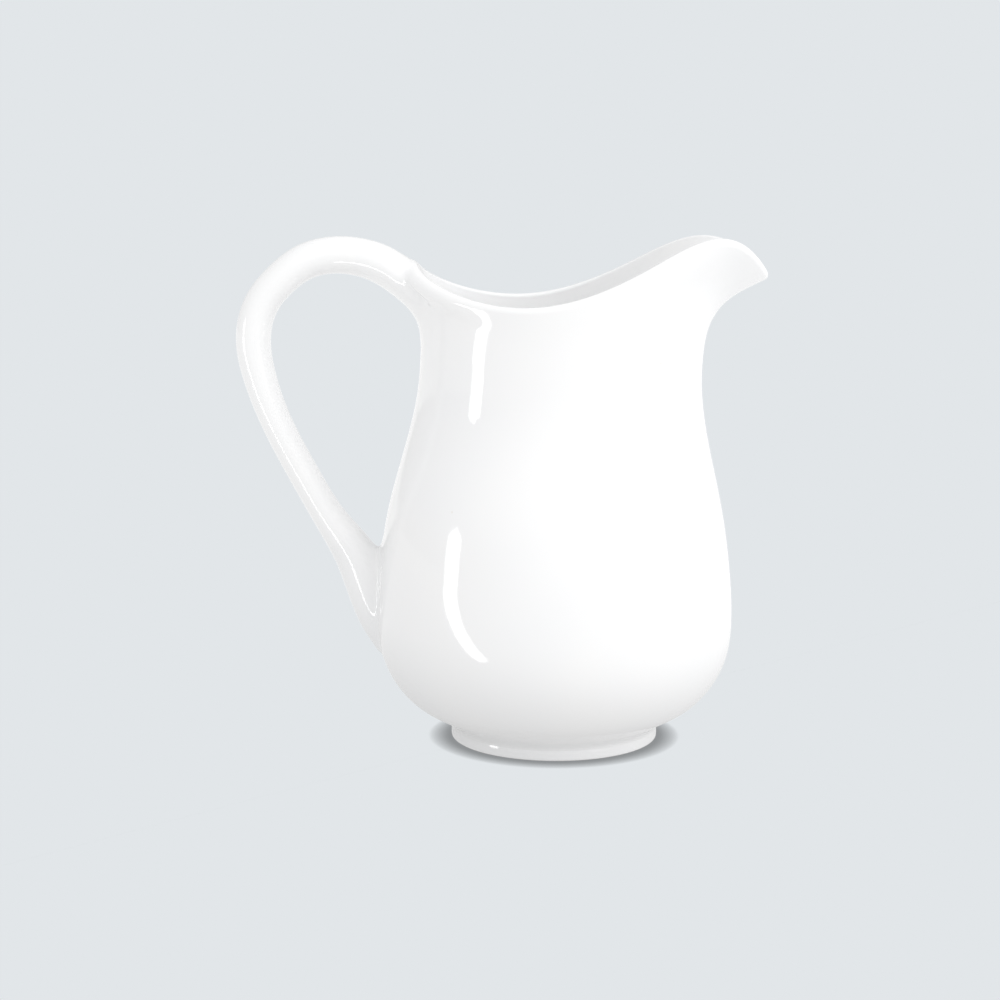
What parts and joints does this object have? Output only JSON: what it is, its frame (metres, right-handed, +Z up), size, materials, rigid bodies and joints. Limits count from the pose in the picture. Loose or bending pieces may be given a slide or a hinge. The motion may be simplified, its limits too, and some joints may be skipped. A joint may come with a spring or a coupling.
{
  "type": "porcelain cream jug",
  "caption": "White glazed porcelain cream jug with a pear-shaped belly, waved rim, pulled pouring spout, loop handle and low foot ring.",
  "frame": {"origin": "centre of the jug's overall footprint on the surface it stands on; the axis of the round body is 10.6 mm towards +X from it", "axes": "+X towards the tip of the spout, -X towards the handle, +Z up, so the middle plane of the jug is the XZ plane"},
  "size_m": [0.1041, 0.0706, 0.0998],
  "materials": {
    "body_glaze": "clear gloss glaze over white porcelain",
    "foot_glaze": "clear gloss glaze, wiped off the standing edge",
    "foot_slip_glaze": "glaze pooled in the groove",
    "handle_glaze": "clear gloss glaze over white porcelain",
    "upper_slip_glaze": "clear gloss glaze over smoothed slip",
    "lower_slip_glaze": "clear gloss glaze over smoothed slip"
  },
  "bodies": {
    "root": {"jug_body": "body_glaze", "foot_ring": "foot_glaze", "foot_luting_slip": "foot_slip_glaze", "handle": "handle_glaze", "upper_luting_slip": "upper_slip_glaze", "lower_luting_slip": "lower_slip_glaze"}
  },
  "joints": []
}
